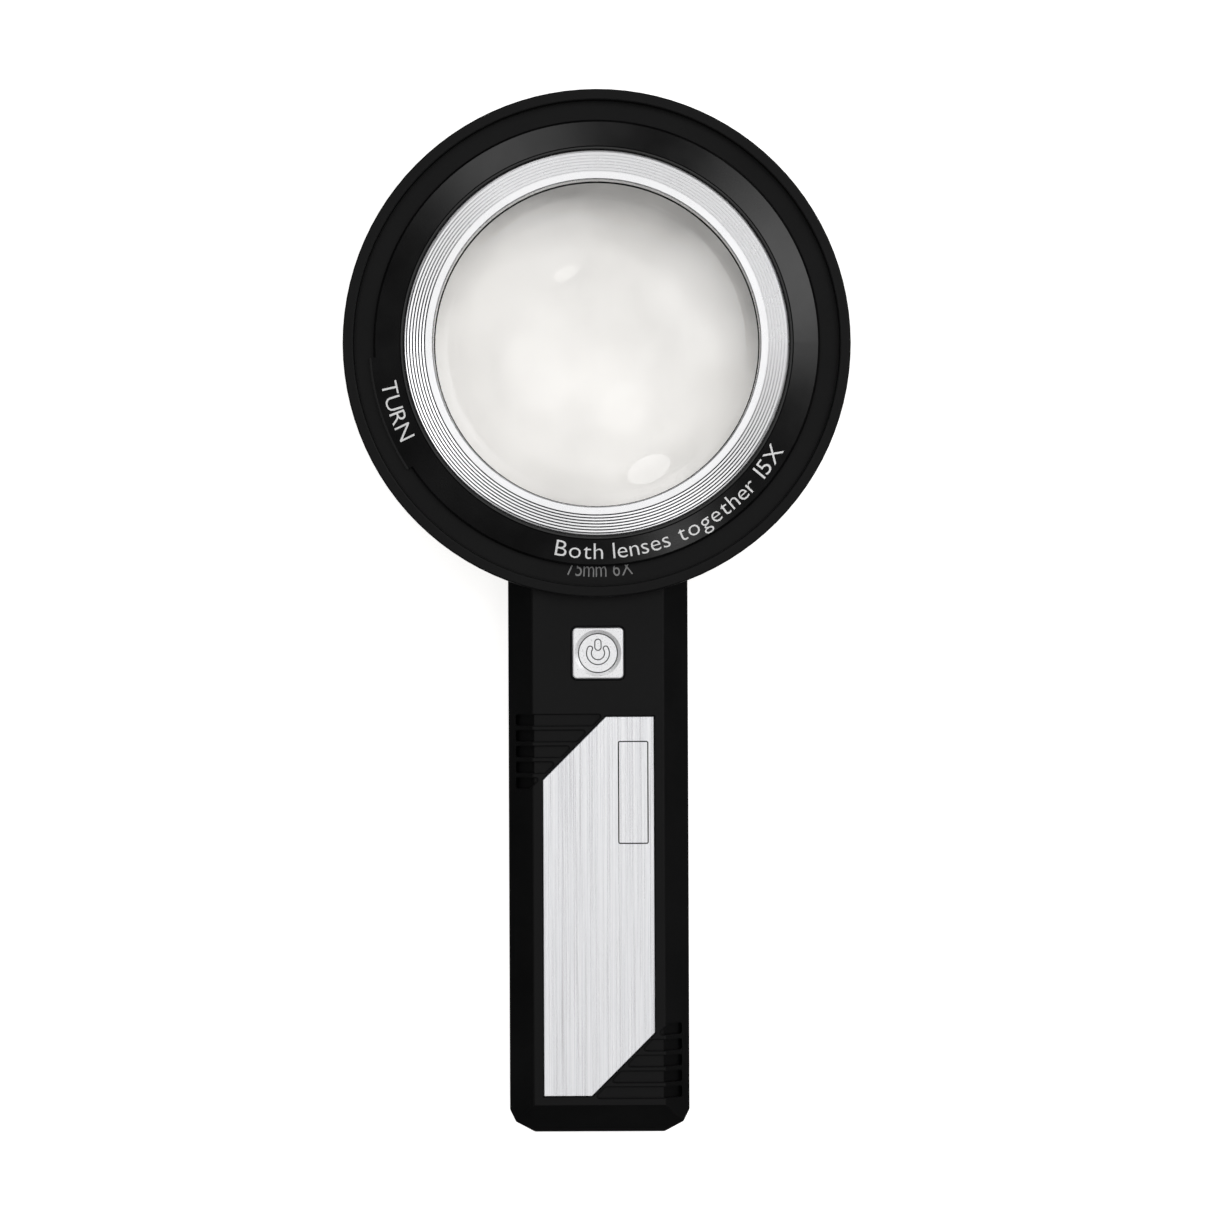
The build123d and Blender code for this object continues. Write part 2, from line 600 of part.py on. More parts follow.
def battery_door():
    door = block(-DOOR_HALF, HANDLE_END - 1, 0, DOOR_HALF, DOOR_HIGH, DOOR_T)
    side = DOOR_HALF + TONGUE
    door += block(-side, HANDLE_END - 1, TONGUE_LOW, side, DOOR_HIGH, TONGUE_TOP)
    door &= handle_solid()
    for n in range(7):
        door -= block(-7.5, -150.6 + n * 1.6, -1, 7.5, -149.8 + n * 1.6, 0.45)
    arrow = Polygon((-4, -137.0), (4, -137.0), (0, -142.5), align=None)
    door -= bars(arrow, -1, 0.4)
    return door


def wire_run(points, bend, radius):
    path = FilletPolyline(*points, radius=bend)
    return sweep(Plane(path @ 0, z_dir=path % 0) * Circle(radius), path)


def led_wires():
    top = LED_BOARD_LOW + LED_BOARD_T
    low = BOARD_TOP - BOARD_T
    out = []
    for x in (-1.6, 1.6):
        points = [(x, -47.4, top), (x, -47.4, top + 1.7), (x, -61.8, top + 1.7), (x, -61.8, low)]
        out.append(wire_run(points, 0.8, 0.4))
    return group(out)


def battery_wires():
    out = []
    start = BAY_HIGH + BOX_WALL + 1.4
    for x in (-CELL_X, CELL_X):
        inward = x * 0.86
        points = [(x, start, 9.85), (x, start + 2.6, 9.85), (inward, start + 5.8, 12.2), (inward, BOARD_FROM + 1.2, 12.2),
                  (inward, BOARD_FROM + 1.2, BOARD_TOP)]
        out.append(wire_run(points, 0.7, 0.45))
    return group(out)


PIECES = {
    "front_shell": front_shell,
    "back_shell": back_shell,
    "lens_ring": lens_ring,
    "ring_seal": seal,
    "grooved_bezel": bezel,
    "second_lens": lambda: lens(LENS2_R, LENS2_LOW, LENS2_EDGE, None, LENS2_CURVE),
    "main_lens": lambda: lens(LENS_R, LENS_EDGE_LOW, LENS_EDGE, LENS_CURVE, LENS_CURVE),
    "lens_barrel": lens_barrel,
    "lens_retainer": lens_retainer,
    "led_board": lambda: ring(LED_BOARD_IN, LED_BOARD_R, LED_BOARD_LOW, LED_BOARD_LOW + LED_BOARD_T),
    "leds": leds,
    "light_diffuser": lambda: ring(DIFFUSER_IN, DIFFUSER_R, DIFFUSER_LOW, DIFFUSER_TOP),
    "power_button": power_button,
    "switch_body": switch_body,
    "switch_plunger": switch_plunger,
    "circuit_board": circuit_board,
    "board_screws": board_screws,
    "driver_parts": driver_parts,
    "inductor": inductor,
    "capacitor": capacitor,
    "trim_plate": trim_plate,
    "trim_pad": trim_pad,
    "battery_box": battery_box,
    "cells": cells,
    "battery_springs": battery_springs,
    "contact_plates": contact_plates,
    "contact_bridge": contact_bridge,
    "battery_door": battery_door,
    "shell_screws": shell_screws,
    "led_wires": led_wires,
    "battery_wires": battery_wires,
}

os.makedirs("parts", exist_ok=True)
for node, make in PIECES.items():
    shape = Pos(0, HEAD_Y, 0) * make()
    export_step(shape, f"parts/{node}.step")
    print(node, round(shape.volume, 1))
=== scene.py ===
import bpy
import math
from mathutils import Matrix, Vector


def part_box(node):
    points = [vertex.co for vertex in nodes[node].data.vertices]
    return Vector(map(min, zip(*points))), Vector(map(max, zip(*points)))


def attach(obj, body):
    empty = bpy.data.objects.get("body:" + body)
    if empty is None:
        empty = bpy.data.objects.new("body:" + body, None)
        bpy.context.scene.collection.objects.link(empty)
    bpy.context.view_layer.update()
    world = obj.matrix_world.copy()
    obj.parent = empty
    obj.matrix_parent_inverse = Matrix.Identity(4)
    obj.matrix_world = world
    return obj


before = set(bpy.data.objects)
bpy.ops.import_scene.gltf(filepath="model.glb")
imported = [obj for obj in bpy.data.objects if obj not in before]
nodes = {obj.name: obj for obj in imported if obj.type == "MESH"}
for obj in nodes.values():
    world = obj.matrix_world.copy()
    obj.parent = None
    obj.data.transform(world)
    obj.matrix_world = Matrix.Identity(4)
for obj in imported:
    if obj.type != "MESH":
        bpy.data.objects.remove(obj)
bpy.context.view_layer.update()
MM = 0.001

# ---------------------------------------------------------------- places taken from the frame
glass_low, glass_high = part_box("main_lens")
AXIS = Vector(((glass_low.x + glass_high.x) / 2, (glass_low.y + glass_high.y) / 2, 0))
RING_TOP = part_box("lens_ring")[1].z
RIM_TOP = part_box("front_shell")[1].z

# the lens ring's conical front: height at two radii
CONE_OUT, CONE_IN = 45.35 * MM, 40.35 * MM
CONE_OUT_Z, CONE_IN_Z = RING_TOP - 1.6 * MM, RING_TOP - 0.25 * MM
ANNULUS_Z = RIM_TOP - 2.4 * MM

# heights below which the engraved lines get painted shade, between the floor of the engraved lines and the face
# round them
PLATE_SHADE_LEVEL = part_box("trim_plate")[1].z - 0.35 * MM
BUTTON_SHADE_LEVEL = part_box("power_button")[1].z - 0.55 * MM

# the bezel's seven grooves: radius of the first, their spacing, and where the smooth band ends
GROOVE_FIRST, GROOVE_PITCH = 35.25 * MM, 0.613 * MM
BAND_END = GROOVE_FIRST - GROOVE_PITCH / 2

LED_COUNT, LED_REACH = 12, 44.0 * MM      # number of LEDs, and their distance from the lens axis


def cone_height(radius):
    return CONE_OUT_Z + (CONE_OUT - radius) / (CONE_OUT - CONE_IN) * (CONE_IN_Z - CONE_OUT_Z)


# ---------------------------------------------------------------- node helpers
def start_material(name):
    """A new material, its node tree and its shader."""
    material = bpy.data.materials.new(name)
    material.use_nodes = True
    tree = material.node_tree
    return material, tree, tree.nodes["Principled BSDF"]


def node(tree, kind, links=(), **values):
    """Adds a node; values set its properties or sockets, and links join (socket, source) pairs."""
    made = tree.nodes.new(kind)
    for key, value in values.items():
        if hasattr(made, key):
            setattr(made, key, value)
        else:
            made.inputs[key.replace("_", " ")].default_value = value
    for socket, source in links:
        tree.links.new(source, made.inputs[socket])
    return made


def coordinates(tree, centre=(0, 0, 0), scale=(1, 1, 1)):
    """Object coordinates, moved to a centre and stretched."""
    here = node(tree, "ShaderNodeTexCoord")
    mapping = node(tree, "ShaderNodeMapping", [("Vector", here.outputs["Object"])])
    mapping.inputs["Location"].default_value = [-c * s for c, s in zip(centre, scale)]
    mapping.inputs["Scale"].default_value = scale
    return mapping.outputs["Vector"]


def noise(tree, place, scale, detail=2.0, roughness=0.5):
    """Uneven values round 0.5; scale is in waves per metre."""
    made = node(tree, "ShaderNodeTexNoise", [("Vector", place)])
    made.inputs["Scale"].default_value = scale
    made.inputs["Detail"].default_value = detail
    made.inputs["Roughness"].default_value = roughness
    return made.outputs["Fac"]


def spread(tree, source, low, high, start=0.0, end=1.0):
    """Maps a value from start..end to low..high."""
    made = node(tree, "ShaderNodeMapRange", [("Value", source)])
    made.inputs["From Min"].default_value = start
    made.inputs["From Max"].default_value = end
    made.inputs["To Min"].default_value = low
    made.inputs["To Max"].default_value = high
    return made.outputs["Result"]


def colours(tree, source, *stops):
    """A colour ramp from (position, (r, g, b)) stops."""
    made = node(tree, "ShaderNodeValToRGB", [("Fac", source)])
    ramp = made.color_ramp
    ramp.elements[0].position, ramp.elements[0].color = stops[0][0], (*stops[0][1], 1)
    ramp.elements[1].position, ramp.elements[1].color = stops[-1][0], (*stops[-1][1], 1)
    for position, colour in stops[1:-1]:
        ramp.elements.new(position).color = (*colour, 1)
    return made.outputs["Color"]


def bump(tree, shader, height, distance, strength=1.0):
    """Raises the surface by up to distance, in metres."""
    made = node(tree, "ShaderNodeBump", [("Height", height)])
    made.inputs["Distance"].default_value = distance
    made.inputs["Strength"].default_value = strength
    tree.links.new(made.outputs["Normal"], shader.inputs["Normal"])


def radius_from(tree, centre):
    """Distance from an upright axis through centre."""
    place = coordinates(tree, centre, (1, 1, 0))
    return node(tree, "ShaderNodeVectorMath", [(0, place)], operation="LENGTH").outputs["Value"]


def above(tree, level, blend=0.03 * MM):
    """0 below a height and 1 above it, with a short blend."""
    height = node(tree, "ShaderNodeSeparateXYZ", [("Vector", coordinates(tree))]).outputs["Z"]
    return spread(tree, height, 0.0, 1.0, level - blend, level + blend)


def math_node(tree, operation, a, b=0.0):
    """One sum on two values, each a number or another node's output."""
    made = node(tree, "ShaderNodeMath", operation=operation)
    for socket, value in ((0, a), (1, b)):
        if isinstance(value, (int, float)):
            made.inputs[socket].default_value = value
        else:
            tree.links.new(value, made.inputs[socket])
    return made.outputs["Value"]


def pointing(azimuth, tilt):
    """The direction at an azimuth about +Z and a tilt from straight up, in degrees."""
    a, t = math.radians(azimuth), math.radians(tilt)
    return Vector((math.sin(t) * math.cos(a), math.sin(t) * math.sin(a), math.cos(t)))


def facing(tree, direction, azimuth, tilt):
    """How nearly a direction points to an azimuth and a tilt, from -1 to 1."""
    made = node(tree, "ShaderNodeVectorMath", [(0, direction)], operation="DOT_PRODUCT")
    made.inputs[1].default_value = pointing(azimuth, tilt)
    return made.outputs["Value"]


# ---------------------------------------------------------------- materials
def black_plastic(name, shade=0.0018, gloss=0.38, grain=0.000008, level=0.145):
    """Moulded black plastic: fine spark-eroded grain, with faint handling marks in the gloss.

    shade is its colour, gloss its roughness, grain the depth of the grain and level how much it reflects.
    """
    material, tree, shader = start_material(name)
    place = coordinates(tree)
    fine = noise(tree, place, 2600, 3)
    broad = noise(tree, place, 45, 4, 0.6)
    tint = (shade, shade, shade * 1.06)
    lighter = tuple(1.5 * c for c in tint)
    tree.links.new(colours(tree, broad, (0.3, tint), (0.75, lighter)), shader.inputs["Base Color"])
    tree.links.new(spread(tree, broad, gloss - 0.05, gloss + 0.07, 0.3, 0.7), shader.inputs["Roughness"])
    shader.inputs["Specular IOR Level"].default_value = level
    bump(tree, shader, fine, grain)
    return material


def glass(name, tint):
    """Clear polished optical glass."""
    material, tree, shader = start_material(name)
    shader.inputs["Base Color"].default_value = (*tint, 1)
    shader.inputs["Transmission Weight"].default_value = 1.0
    shader.inputs["IOR"].default_value = 1.5
    shader.inputs["Roughness"].default_value = 0.0
    return material


def turned_metal(name):
    """Lathe-turned aluminium: highlights drawn out across the cut, and painted shade in the seven grooves."""
    material, tree, shader = start_material(name)
    radius = radius_from(tree, AXIS)
    outward = node(tree, "ShaderNodeVectorMath", [(0, coordinates(tree, AXIS, (1, 1, 0)))], operation="NORMALIZE")
    # tipped upwards a little, so that it isn't lost on the upright inner wall
    tipped = node(tree, "ShaderNodeVectorMath", [(0, outward.outputs["Vector"])], operation="ADD")
    tipped.inputs[1].default_value = (0, 0, 0.35)
    tree.links.new(tipped.outputs["Vector"], shader.inputs["Tangent"])
    shader.inputs["Anisotropic"].default_value = 0.4
    shader.inputs["Metallic"].default_value = 1.0
    # from_middle is 0 on a groove's centre line and 0.5 half way to the next
    step = math_node(tree, "DIVIDE", math_node(tree, "SUBTRACT", radius, BAND_END), GROOVE_PITCH)
    from_middle = math_node(tree, "ABSOLUTE", math_node(tree, "SUBTRACT", math_node(tree, "FRACT", step), 0.5))
    # painted shade in the grooves: 0 on a groove's centre line, 1 on the crests between
    groove_shade_mask = spread(tree, from_middle, 0.0, 1.0, 0.13, 0.23)
    groove_shade_mask = math_node(tree, "MAXIMUM", groove_shade_mask, math_node(tree, "LESS_THAN", radius, BAND_END))
    # painted light: the groove shade fades towards the top, where the light falls, and is darkest at the lower left
    painted_lit_side = spread(tree, facing(tree, outward.outputs["Vector"], 62, 90), 0.0, 0.88, -0.25, 0.5)
    groove_shade_mask = math_node(tree, "MAXIMUM", groove_shade_mask, painted_lit_side)
    broad = noise(tree, coordinates(tree, AXIS), 160, 3)
    tone_with_painted_shade = math_node(tree, "MULTIPLY", groove_shade_mask, spread(tree, broad, 0.92, 1.0, 0.35, 0.65))
    colour = colours(tree, tone_with_painted_shade, (0.0, (0.05, 0.05, 0.055)), (0.92, (0.9, 0.9, 0.91)), (1.0, (0.95, 0.95, 0.96)))
    tree.links.new(colour, shader.inputs["Base Color"])
    tree.links.new(spread(tree, broad, 0.24, 0.32, 0.3, 0.7), shader.inputs["Roughness"])
    return material


def brushed_metal(name):
    """Aluminium sheet brushed along the handle, with long streaks of uneven depth and painted shade in its engraved
    line.
    """
    material, tree, shader = start_material(name)
    across = node(tree, "ShaderNodeCombineXYZ", X=1.0)
    tree.links.new(across.outputs["Vector"], shader.inputs["Tangent"])
    shader.inputs["Anisotropic"].default_value = 0.75
    hair = noise(tree, coordinates(tree, scale=(4200, 16, 1)), 1, 3, 0.7)
    streak = noise(tree, coordinates(tree, scale=(1100, 6, 1)), 1, 3, 0.6)
    both = math_node(tree, "ADD", math_node(tree, "MULTIPLY", hair, 0.75), math_node(tree, "MULTIPLY", streak, 0.25))
    shader.inputs["Metallic"].default_value = 0.9
    # painted shade: dark below the face, in the engraved line
    tone_with_painted_shade = math_node(tree, "MULTIPLY", both, above(tree, PLATE_SHADE_LEVEL))
    colour = colours(tree, tone_with_painted_shade, (0.02, (0.03, 0.03, 0.03)), (0.36, (0.6, 0.6, 0.62)),
                     (0.5, (0.88, 0.885, 0.905)), (0.6, (0.97, 0.97, 0.985)))
    tree.links.new(colour, shader.inputs["Base Color"])
    tree.links.new(spread(tree, both, 0.24, 0.36, 0.35, 0.65), shader.inputs["Roughness"])
    bump(tree, shader, both, 0.00002, 0.7)
    return material


def painted_plastic(name, tint, gloss):
    """Smooth moulded plastic with a faint unevenness in its gloss."""
    material, tree, shader = start_material(name)
    broad = noise(tree, coordinates(tree), 300, 3)
    darker = tuple(0.94 * c for c in tint)
    tree.links.new(colours(tree, broad, (0.3, darker), (0.7, tint)), shader.inputs["Base Color"])
    tree.links.new(spread(tree, broad, gloss - 0.04, gloss + 0.06, 0.3, 0.7), shader.inputs["Roughness"])
    bump(tree, shader, noise(tree, coordinates(tree), 3500, 2), 0.000004, 0.5)
    return material


def silver_paint(name):
    """Silver-white metallic paint with a fine sparkle, and painted shade in the engraved lines."""
    material, tree, shader = start_material(name)
    sparkle = noise(tree, coordinates(tree), 4200, 3, 0.6)
    shader.inputs["Metallic"].default_value = 0.65
    # painted shade: dark below the face, in the engraved lines
    tone_with_painted_shade = math_node(tree, "MULTIPLY", sparkle, above(tree, BUTTON_SHADE_LEVEL))
    colour = colours(tree, tone_with_painted_shade, (0.02, (0.05, 0.05, 0.055)), (0.3, (0.86, 0.86, 0.875)),
                     (0.65, (0.97, 0.97, 0.98)))
    tree.links.new(colour, shader.inputs["Base Color"])
    tree.links.new(spread(tree, sparkle, 0.26, 0.38, 0.3, 0.7), shader.inputs["Roughness"])
    bump(tree, shader, sparkle, 0.000004, 0.4)
    return material


def plated_metal(name, tint, gloss):
    """Plated or bare metal with slight tarnish."""
    material, tree, shader = start_material(name)
    broad = noise(tree, coordinates(tree), 700, 4)
    darker = tuple(0.8 * c for c in tint)
    shader.inputs["Metallic"].default_value = 1.0
    tree.links.new(colours(tree, broad, (0.3, darker), (0.65, tint)), shader.inputs["Base Color"])
    tree.links.new(spread(tree, broad, gloss, gloss + 0.12, 0.3, 0.7), shader.inputs["Roughness"])
    return material


SHELL = black_plastic("black_shell_plastic")
RING_BLACK = black_plastic("black_ring_plastic", 0.0016, 0.22, 0.000003, 0.5)
MATT_BLACK = black_plastic("matt_black_plastic", 0.005, 0.55, 0.000010, 0.2)
FINISHES = {
    "front_shell": SHELL, "back_shell": SHELL, "battery_door": SHELL, "lens_ring": RING_BLACK,
    "lens_barrel": MATT_BLACK, "lens_retainer": MATT_BLACK, "battery_box": MATT_BLACK,
    "ring_seal": black_plastic("black_rubber", 0.012, 0.6, 0.000004, 0.4),
    "grooved_bezel": turned_metal("turned_aluminium"),
    "trim_plate": brushed_metal("brushed_aluminium"),
    "second_lens": glass("second_lens_glass", (0.975, 0.97, 0.962)),
    "main_lens": glass("main_lens_glass", (0.965, 0.957, 0.945)),
    "power_button": silver_paint("silver_white_paint"),
    "light_diffuser": painted_plastic("frosted_acrylic", (0.84, 0.86, 0.88), 0.5),
    "led_board": painted_plastic("white_solder_mask", (0.78, 0.78, 0.76), 0.35),
    "leds": painted_plastic("led_phosphor", (0.82, 0.72, 0.2), 0.4),
    "circuit_board": painted_plastic("green_solder_mask", (0.012, 0.13, 0.045), 0.3),
    "switch_body": black_plastic("switch_moulding", 0.012, 0.45),
    "switch_plunger": painted_plastic("ivory_acetal", (0.72, 0.68, 0.52), 0.4),
    "driver_parts": black_plastic("chip_moulding", 0.015, 0.5),
    "inductor": black_plastic("dark_ferrite", 0.03, 0.6),
    "capacitor": plated_metal("capacitor_can", (0.72, 0.72, 0.74), 0.3),
    "trim_pad": painted_plastic("adhesive_sheet", (0.75, 0.75, 0.72), 0.7),
    "cells": painted_plastic("cell_sleeve", (0.05, 0.09, 0.16), 0.3),
    "battery_springs": plated_metal("nickel_wire", (0.72, 0.71, 0.69), 0.22),
    "contact_plates": plated_metal("nickel_plate", (0.74, 0.73, 0.7), 0.25),
    "contact_bridge": plated_metal("nickel_bridge", (0.74, 0.73, 0.7), 0.25),
    "board_screws": plated_metal("steel_screw", (0.6, 0.6, 0.61), 0.3),
    "shell_screws": plated_metal("black_oxide_screw", (0.09, 0.09, 0.095), 0.35),
    "led_wires": painted_plastic("red_insulation", (0.45, 0.03, 0.02), 0.4),
    "battery_wires": black_plastic("black_insulation", 0.01, 0.4),
}


def dress_frame():
    """Puts each node's finish in its material slots."""
    for name, finish in FINISHES.items():
        mesh = nodes[name].data
        for index in range(len(mesh.materials)):
            mesh.materials[index] = finish
        if not len(mesh.materials):
            mesh.materials.append(finish)


# ---------------------------------------------------------------- printing
def letter(character, size, finish):
    """One printed letter, lying on the XY plane at the origin."""
    bpy.ops.object.select_all(action="DESELECT")
    bpy.ops.object.text_add(location=(0, 0, 0))
    made = bpy.context.object
    made.data.body = character
    made.data.size = size
    made.data.extrude = 0.02 * MM
    made.data.offset = -0.035 * MM
    made.data.resolution_u = 3
    bpy.ops.object.convert(target="MESH")
    made = bpy.context.object
    made.data.materials.clear()
    made.data.materials.append(finish)
    return made


def print_round(name, text, start, end, base_radius, size, height, slope, finish, body):
    """Prints text round the lens axis, tops towards the axis, between two angles in degrees.

    base_radius and height are where the letters stand, and slope is how far the surface leans, in radians.
    """
    advance = {}
    for character in set(text) - {" "}:
        probe = letter(character, size, finish)
        advance[character] = (min(v.co.x for v in probe.data.vertices), max(v.co.x for v in probe.data.vertices))
        bpy.data.objects.remove(probe)
    gap, space = size * 0.11, size * 0.20      # between letters and between words
    widths = [space if c == " " else advance[c][1] - advance[c][0] for c in text]
    length = sum(widths) + gap * (len(text) - 1)
    squeeze = math.radians(end - start) * base_radius / length
    letters, along = [], 0.0
    for character, width in zip(text, widths):
        if character != " ":
            made = letter(character, size, finish)
            angle = math.radians(start) + (along + width / 2) * squeeze / base_radius
            outward = Vector((math.cos(angle), math.sin(angle), 0))
            middle = (advance[character][0] + advance[character][1]) / 2
            made.matrix_world = (
                Matrix.Translation(AXIS + outward * base_radius + Vector((0, 0, height)))
                @ Matrix.Rotation(angle + math.pi / 2, 4, "Z")
                @ Matrix.Rotation(slope, 4, "X")
                @ Matrix.Scale(squeeze, 4, (1, 0, 0))
                @ Matrix.Translation((-middle, 0, 0))
            )
            letters.append(made)
        along += width + gap
    bpy.ops.object.select_all(action="DESELECT")
    for made in letters:
        made.select_set(True)
    bpy.context.view_layer.objects.active = letters[0]
    bpy.ops.object.join()
    bpy.ops.object.transform_apply(location=True, rotation=True, scale=True)
    whole = bpy.context.object
    whole.name = name
    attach(whole, body)
    return whole


def printing():
    """The white words on the lens ring, and the grey lens size on the annulus, half under the ring's edge."""
    white = painted_plastic("white_ink", (1.0, 1.0, 1.0), 0.4)
    grey = painted_plastic("grey_ink", (0.30, 0.30, 0.30), 0.5)
    slope = math.atan2(CONE_IN_Z - CONE_OUT_Z, CONE_OUT - CONE_IN)
    proud = 0.01 * MM
    base = 44.25 * MM
    print_round("ring_print_magnification", "Both lenses together 15X", 258.5, 329.8, base, 4.9 * MM,
                cone_height(base) + proud, slope, white, "ring")
    base = 45.0 * MM
    print_round("ring_print_turn", "TURN", 190.4, 206.6, base, 5.0 * MM,
                cone_height(base) + proud, slope, white, "ring")
    base = 47.9 * MM
    print_round("annulus_print_power", "75mm 6X", 262.3, 278.8, base, 4.75 * MM,
                ANNULUS_Z + proud, 0.0, grey, "body")


# ---------------------------------------------------------------- inside detail
def finish_piece(made, name, finish, body):
    """Names a new piece, applies its place, and gives it its finish and its body."""
    bpy.ops.object.select_all(action="DESELECT")
    made.select_set(True)
    bpy.context.view_layer.objects.active = made
    bpy.ops.object.transform_apply(location=True, rotation=True, scale=True)
    made.name = name
    made.data.materials.clear()
    made.data.materials.append(finish)
    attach(made, body)
    return made


def join_all(pieces):
    """Makes one object of several."""
    bpy.ops.object.select_all(action="DESELECT")
    for made in pieces:
        made.select_set(True)
    bpy.context.view_layer.objects.active = pieces[0]
    bpy.ops.object.join()
    return bpy.context.object


def dome(centre, radius, rise, upward):
    """A low dome with its flat side closed, cut from a sphere in edit mode."""
    bpy.ops.object.select_all(action="DESELECT")
    bpy.ops.mesh.primitive_uv_sphere_add(segments=24, ring_count=16, radius=radius, location=(0, 0, 0))
    made = bpy.context.object
    bpy.ops.object.mode_set(mode="EDIT")
    bpy.ops.mesh.select_all(action="SELECT")
    bpy.ops.mesh.bisect(plane_co=(0, 0, 0), plane_no=(0, 0, 1), use_fill=True, clear_inner=True)
    bpy.ops.mesh.select_all(action="SELECT")
    bpy.ops.transform.resize(value=(1, 1, rise / radius))
    bpy.ops.object.mode_set(mode="OBJECT")
    bpy.ops.object.shade_smooth_by_angle(angle=math.radians(40))
    made.rotation_euler = (0 if upward else math.pi, 0, 0)
    made.location = centre
    return made


def led_domes():
    """A low yellow dome on each LED, facing the paper."""
    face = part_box("leds")[0].z
    finish = painted_plastic("phosphor_dome", (0.86, 0.72, 0.10), 0.15)
    domes = []
    for n in range(LED_COUNT):
        angle = 2 * math.pi * (n + 0.5) / LED_COUNT
        place = AXIS + Vector((LED_REACH * math.cos(angle), LED_REACH * math.sin(angle), face))
        domes.append(dome(place, 1.1 * MM, 0.12 * MM, False))
    finish_piece(join_all(domes), "led_phosphor_domes", finish, "body")


def inductor_winding():
    """Enamelled copper wire wound on the inductor's drum, as a stack of turns."""
    low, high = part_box("inductor")
    centre = Vector(((low.x + high.x) / 2, (low.y + high.y) / 2, 0))
    wire, turn_radius, first_turn, turn_count = 0.2 * MM, 2.52 * MM, low.z + 1.0 * MM, 6
    turns = []
    for n in range(turn_count):
        bpy.ops.object.select_all(action="DESELECT")
        bpy.ops.mesh.primitive_torus_add(
            major_segments=48, minor_segments=10, major_radius=turn_radius, minor_radius=wire,
            location=centre + Vector((0, 0, first_turn + n * 2 * wire)))
        bpy.ops.object.shade_smooth()
        turns.append(bpy.context.object)
    finish = plated_metal("enamelled_copper", (0.62, 0.24, 0.07), 0.25)
    finish_piece(join_all(turns), "inductor_winding", finish, "body")


def solder_joints():
    """Rounded solder where the leads meet the two boards."""
    low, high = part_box("circuit_board")
    finish = plated_metal("solder", (0.70, 0.70, 0.71), 0.2)
    # each spot is x, y, z, and whether it stands on top of the board
    led_lead, battery_lead, battery_turn_in = 0.4 * MM, 0.45 * MM, 1.49 * MM
    spots = [(x * MM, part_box("led_wires")[0].y + led_lead, low.z, False) for x in (-1.6, 1.6)]
    battery_low, battery_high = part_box("battery_wires")
    spots += [(x, battery_high.y - battery_lead, high.z, True)
              for x in (battery_low.x + battery_turn_in, battery_high.x - battery_turn_in)]
    joints = [dome((x, y, z), 0.85 * MM, 0.42 * MM, upward) for x, y, z, upward in spots]
    finish_piece(join_all(joints), "solder_joints", finish, "body")


def cell_bands():
    """A coloured band round each cell's positive end."""
    low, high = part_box("cells")
    radius = (high.z - low.z) / 2
    from_end, width, film = 5.2 * MM, 6 * MM, 0.02 * MM
    finish = painted_plastic("cell_band", (0.55, 0.22, 0.03), 0.3)
    bands = []
    for x, y in ((high.x - radius, high.y - from_end), (low.x + radius, low.y + from_end)):
        bpy.ops.object.select_all(action="DESELECT")
        bpy.ops.mesh.primitive_cylinder_add(
            vertices=96, radius=radius + film, depth=width, end_fill_type="NOTHING",
            location=(x, y, (low.z + high.z) / 2), rotation=(math.pi / 2, 0, 0))
        made = bpy.context.object
        wall = made.modifiers.new("wall", "SOLIDIFY")
        wall.thickness, wall.offset = film, 1
        bpy.ops.object.modifier_apply(modifier="wall")
        bpy.ops.object.shade_smooth_by_angle(angle=math.radians(30))
        bands.append(made)
    finish_piece(join_all(bands), "cell_bands", finish, "body")


# ---------------------------------------------------------------- stage
def softbox(name, azimuth, tilt, distance, width, height, energy):
    """A flat oval light, placed by its direction from the head."""
    light = bpy.data.lights.new(name, "AREA")
    light.shape = "ELLIPSE"
    light.size, light.size_y, light.energy = width, height, energy
    made = bpy.data.objects.new(name, light)
    bpy.context.collection.objects.link(made)
    made.location = AXIS + distance * pointing(azimuth, tilt)
    made.rotation_euler = (AXIS - made.location).to_track_quat("-Z", "Y").to_euler()
    return made


def glow(tree, direction, azimuth, tilt, reach, level):
    """A round patch of light that fades out at its reach in degrees."""
    near = facing(tree, direction, azimuth, tilt)
    made = node(tree, "ShaderNodeMapRange", [("Value", near)], interpolation_type="SMOOTHSTEP")
    made.inputs["From Min"].default_value = math.cos(math.radians(reach))
    made.inputs["From Max"].default_value = math.cos(math.radians(0.35 * reach))
    made.inputs["To Max"].default_value = level
    return made.outputs["Result"]


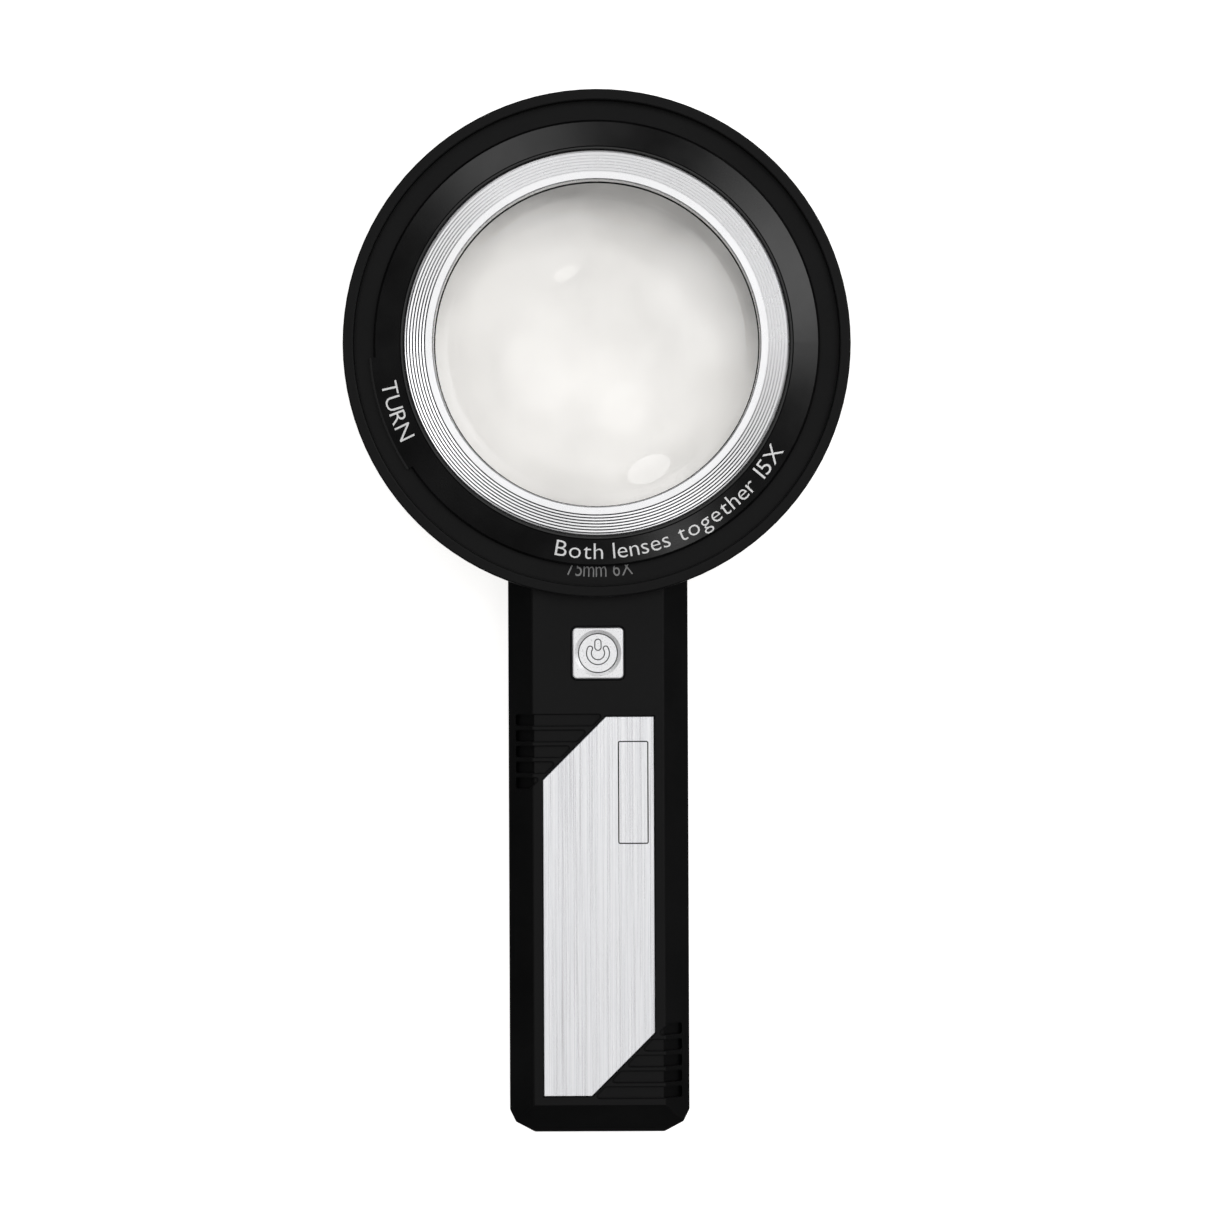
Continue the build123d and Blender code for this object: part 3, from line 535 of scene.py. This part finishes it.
def paper_floor():
    """Glowing white paper, with a painted shadow and faint stains below the lens."""
    below_back, lens_view = 0.2 * MM, 46 * MM
    full_glow, shade_depth = 0.785, 0.53
    shade_centre, shade_reach = AXIS + Vector((-3.8, -7.8, 0)) * MM, 40 * MM
    bpy.ops.object.select_all(action="DESELECT")
    bpy.ops.mesh.primitive_plane_add(size=8.0, location=(0, 0, -below_back))
    floor = bpy.context.object
    floor.name = "floor"
    material, tree, shader = start_material("pale_floor")
    shader.inputs["Base Color"].default_value = (0.8, 0.8, 0.8, 1)
    shader.inputs["Roughness"].default_value = 0.9
    shader.inputs["Specular IOR Level"].default_value = 0.0
    shader.inputs["Emission Color"].default_value = (1.0, 0.993, 0.98, 1)
    # painted shadow below the lens: the glow is lowered, most towards the upper right
    off_centre = radius_from(tree, shade_centre)
    shade = colours(tree, spread(tree, off_centre, 0.0, 1.0, 0.0, shade_reach),
                    (0.0, (0.0, 0.0, 0.0)), (0.4, (0.04, 0.04, 0.04)), (0.64, (0.14, 0.14, 0.14)),
                    (0.77, (0.5, 0.5, 0.5)), (0.9, (1.0, 1.0, 1.0)))
    stains = spread(tree, noise(tree, coordinates(tree, AXIS), 42, 4, 0.55), 0.2, -0.02, 0.38, 0.62)
    shade = math_node(tree, "ADD", shade, stains)
    under = math_node(tree, "LESS_THAN", radius_from(tree, AXIS), lens_view)
    shade = math_node(tree, "MULTIPLY", math_node(tree, "MULTIPLY", shade, under), shade_depth)
    tree.links.new(math_node(tree, "SUBTRACT", full_glow, shade), shader.inputs["Emission Strength"])
    # from underneath, the paper is clear, so that the back can be looked at
    side = node(tree, "ShaderNodeNewGeometry").outputs["Backfacing"]
    clear = node(tree, "ShaderNodeBsdfTransparent").outputs["BSDF"]
    both_sides = node(tree, "ShaderNodeMixShader", [("Fac", side), (1, shader.outputs["BSDF"]), (2, clear)])
    tree.links.new(both_sides.outputs["Shader"], tree.nodes["Material Output"].inputs["Surface"])
    floor.data.materials.append(material)
    floor.visible_glossy = False


def studio_light():
    """A bright ceiling panel, a dim band round it with two soft glows, and a bright lower wall."""
    world = bpy.data.worlds.new("studio")
    bpy.context.scene.world = world
    world.use_nodes = True
    tree = world.node_tree
    direction = node(tree, "ShaderNodeTexCoord").outputs["Generated"]
    height = node(tree, "ShaderNodeSeparateXYZ", [("Vector", direction)]).outputs["Z"]
    levels = colours(tree, height, (0.0, (0.03, 0.03, 0.03)), (0.22, (0.06, 0.06, 0.06)), (0.4, (1.3, 1.3, 1.3)),
                     (0.56, (1.0, 1.0, 1.0)), (0.72, (0.04, 0.04, 0.04)), (0.88, (0.05, 0.05, 0.05)),
                     (0.94, (1.02, 1.02, 1.02)))
    # strongest towards the upper right
    lean = spread(tree, facing(tree, direction, 50, 90), 0.6, 1.3, -0.8, 0.8)
    level = math_node(tree, "MULTIPLY", levels, lean)
    # pale underneath, in place of the paper, which glossy surfaces don't see
    level = math_node(tree, "ADD", level, spread(tree, height, 0.0, 0.8, -0.4, -0.7))
    level = math_node(tree, "ADD", level, glow(tree, direction, 28, 31, 19, 2.3))
    level = math_node(tree, "ADD", level, glow(tree, direction, 113, 31, 14, 1.7))
    tree.links.new(level, tree.nodes["Background"].inputs["Strength"])
    tree.nodes["Background"].inputs["Color"].default_value = (1, 1, 1, 1)
    softbox("small_low", -65.5, 29, 1.0, 0.18, 0.105, 0.13)


def camera():
    """Straight down on the front, a metre above the rim, turned by a quarter of a degree."""
    data = bpy.data.cameras.new("camera")
    made = bpy.data.objects.new("camera", data)
    bpy.context.collection.objects.link(made)
    distance, view_width, sensor = 1.0, 247.5 * MM, 36
    aside, down = 1.385 * MM, -53.56 * MM      # the view's middle, from the lens axis
    data.sensor_width = sensor
    data.lens = sensor * distance / view_width
    made.location = AXIS + Vector((aside, down, RIM_TOP + distance))
    made.rotation_euler = (0, 0, math.radians(-0.23))
    bpy.context.scene.camera = made


camera()
paper_floor()
studio_light()
dress_frame()
printing()
led_domes()
inductor_winding()
solder_joints()
cell_bands()

view = bpy.context.scene.view_settings
view.view_transform = "Standard"
view.look = "None"
